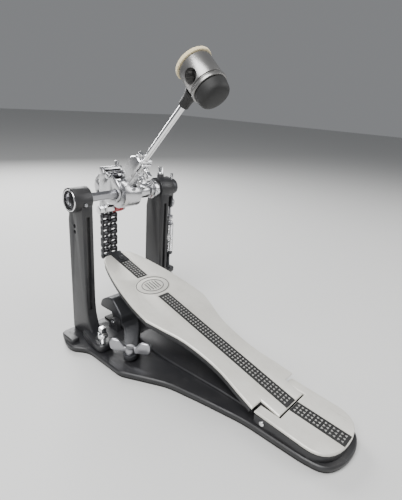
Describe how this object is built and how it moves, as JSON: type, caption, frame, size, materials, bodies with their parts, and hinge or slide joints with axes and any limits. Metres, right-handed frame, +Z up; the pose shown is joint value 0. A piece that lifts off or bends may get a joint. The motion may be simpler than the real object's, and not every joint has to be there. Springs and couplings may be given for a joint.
{
  "type": "bass drum pedal",
  "caption": "Single bass drum pedal with chain drive, cam, leaning beater, hinged footboard, side spring, floor plate, posts and hoop clamp.",
  "frame": {"origin": "on the floor, straight under the middle of the axle", "axes": "+X to the player's right, +Y to the drum, +Z up"},
  "size_m": [0.182, 0.357, 0.3277],
  "materials": {
    "black_paint": "satin black powder coat",
    "dark_casting": "dark grey satin casting",
    "silver_paint": "satin silver-white coating",
    "cast_aluminium": "polished casting",
    "chrome": "polished",
    "steel": "plain bright",
    "chain_black": "oiled black",
    "rubber": "matt black",
    "felt": "cream felt",
    "beater_grey": "satin dark grey",
    "red_plastic": "translucent red"
  },
  "bodies": {
    "frame": {"base_plate": "black_paint", "floor_pad": "rubber", "left_post": "black_paint", "right_post": "black_paint", "left_bearing_outer": "steel", "left_end_ring": "chrome", "left_post_bolt": "steel", "right_bearing_outer": "steel", "right_end_ring": "chrome", "right_post_bolt": "steel", "left_bearing_screw": "steel", "right_bearing_bolt": "chrome", "heel_plate": "silver_paint", "heel_strip": "rubber", "heel_block": "black_paint", "hinge_pin": "chrome", "clamp_pivot_pin": "steel", "hoop_pad": "rubber"},
    "drive_shaft": {"hex_axle": "steel", "left_bearing_inner": "steel", "right_bearing_inner": "steel", "beater_hub": "cast_aluminium", "rod_clamp_cap": "cast_aluminium", "rod_clamp_bolt_1": "chrome", "rod_clamp_bolt_2": "chrome", "hub_set_bolt": "chrome", "hub_top_bolt": "chrome", "drive_cam": "cast_aluminium", "chain_anchor_pin": "chrome", "chain_guide_bar": "chrome", "cam_insert": "red_plastic", "chain_wrap": "chain_black", "shaft_collar": "cast_aluminium", "collar_screw": "chrome", "spring_rocker": "dark_casting", "rocker_bolt": "chrome"},
    "beater_stem": {"beater_rod": "chrome", "rod_boot": "rubber"},
    "beater_head": {"beater_body": "beater_grey", "beater_felt": "felt", "beater_back": "rubber", "head_nut": "chrome"},
    "treadle": {"footboard": "silver_paint", "heel_side_strip": "rubber", "toe_side_strip": "rubber", "badge_plate": "silver_paint", "footboard_tray": "black_paint", "toe_clip": "dark_casting", "toe_clip_bolt": "steel"},
    "chain_lower": {"chain_run": "chain_black"},
    "chain_middle": {"chain_link_1": "chain_black"},
    "chain_upper": {"chain_link_2": "chain_black"},
    "spring_lower": {"tension_rod": "steel", "spring": "chrome"},
    "spring_upper": {"spring_swivel": "steel"},
    "spring_nut": {"tension_nut": "steel"},
    "hoop_clamp": {"clamp_jaw": "dark_casting"},
    "clamp_screw": {"wing_screw": "steel"},
    "spur_l": {"left_spur": "chrome"},
    "spur_r": {"right_spur": "chrome"}
  },
  "joints": [
    {"name": "pedal_swing", "type": "hinge", "parent": "frame", "child": "drive_shaft", "pos_m": [0, 0, 0.174], "axis": [-1, 0, 0], "range_deg": [0, 48], "stiffness_Nm_per_rad": 1.4},
    {"name": "treadle_press", "type": "hinge", "parent": "frame", "child": "treadle", "pos_m": [0, -0.242, 0.0135], "axis": [-1, 0, 0], "range_deg": [0, 5.7]},
    {"name": "chain_foot_pivot", "type": "hinge", "parent": "treadle", "child": "chain_lower", "pos_m": [0, 0.034, 0.08366], "axis": [1, 0, 0], "range_deg": [0, 10.5]},
    {"name": "chain_bend_lower", "type": "hinge", "parent": "chain_lower", "child": "chain_middle", "pos_m": [0, 0.034, 0.177], "axis": [-1, 0, 0], "range_deg": [0, 13.3]},
    {"name": "chain_bend_upper", "type": "hinge", "parent": "chain_middle", "child": "chain_upper", "pos_m": [0, 0.03222, 0.18457], "axis": [-1, 0, 0], "range_deg": [0, 26.6]},
    {"name": "beater_reach", "type": "slide", "parent": "drive_shaft", "child": "beater_stem", "axis": [0, -0.682, 0.7314], "range_m": [-0.009, 0.018]},
    {"name": "beater_face_turn", "type": "hinge", "parent": "beater_stem", "child": "beater_head", "pos_m": [0, -0.1137, 0.30179], "axis": [0, -0.682, 0.7314], "continuous": true},
    {"name": "spring_tilt", "type": "hinge", "parent": "frame", "child": "spring_lower", "pos_m": [0.075, 0, 0.055], "axis": [1, 0, 0], "range_deg": [0, 8.5]},
    {"name": "spring_stretch", "type": "slide", "parent": "spring_lower", "child": "spring_upper", "axis": [0, 0, 1], "range_m": [0, 0.0082], "deforming": ["spring"]},
    {"name": "tension_nut_turn", "type": "hinge", "parent": "spring_lower", "child": "spring_nut", "pos_m": [0.075, 0, 0.047], "axis": [0, 0, 1], "continuous": true},
    {"name": "hoop_clamp_close", "type": "hinge", "parent": "frame", "child": "hoop_clamp", "pos_m": [0, -0.02, 0.017], "axis": [-1, 0, 0], "range_deg": [0, 3.5]},
    {"name": "wing_screw_turn", "type": "hinge", "parent": "hoop_clamp", "child": "clamp_screw", "pos_m": [-0.056, -0.082, 0.02], "axis": [0, 0, -1], "range_deg": [0, 720]},
    {"name": "left_spur_height", "type": "slide", "parent": "frame", "child": "spur_l", "axis": [0, 0, 1], "range_m": [-0.005, 0.004]},
    {"name": "right_spur_height", "type": "slide", "parent": "frame", "child": "spur_r", "axis": [0, 0, 1], "range_m": [-0.005, 0.004]}
  ],
  "couplings": [
    {"joint": "treadle_press", "follows": "pedal_swing", "ratio": 0.11763},
    {"joint": "chain_foot_pivot", "follows": "pedal_swing", "ratio": 0.21659},
    {"joint": "chain_bend_lower", "follows": "pedal_swing", "ratio": 0.27552},
    {"joint": "chain_bend_upper", "follows": "pedal_swing", "ratio": 0.55104},
    {"joint": "spring_tilt", "follows": "pedal_swing", "ratio": 0.17621},
    {"joint": "spring_stretch", "follows": "pedal_swing", "m_per_rad": 0.009671},
    {"joint": "hoop_clamp_close", "follows": "wing_screw_turn", "ratio": 0.004861}
  ]
}
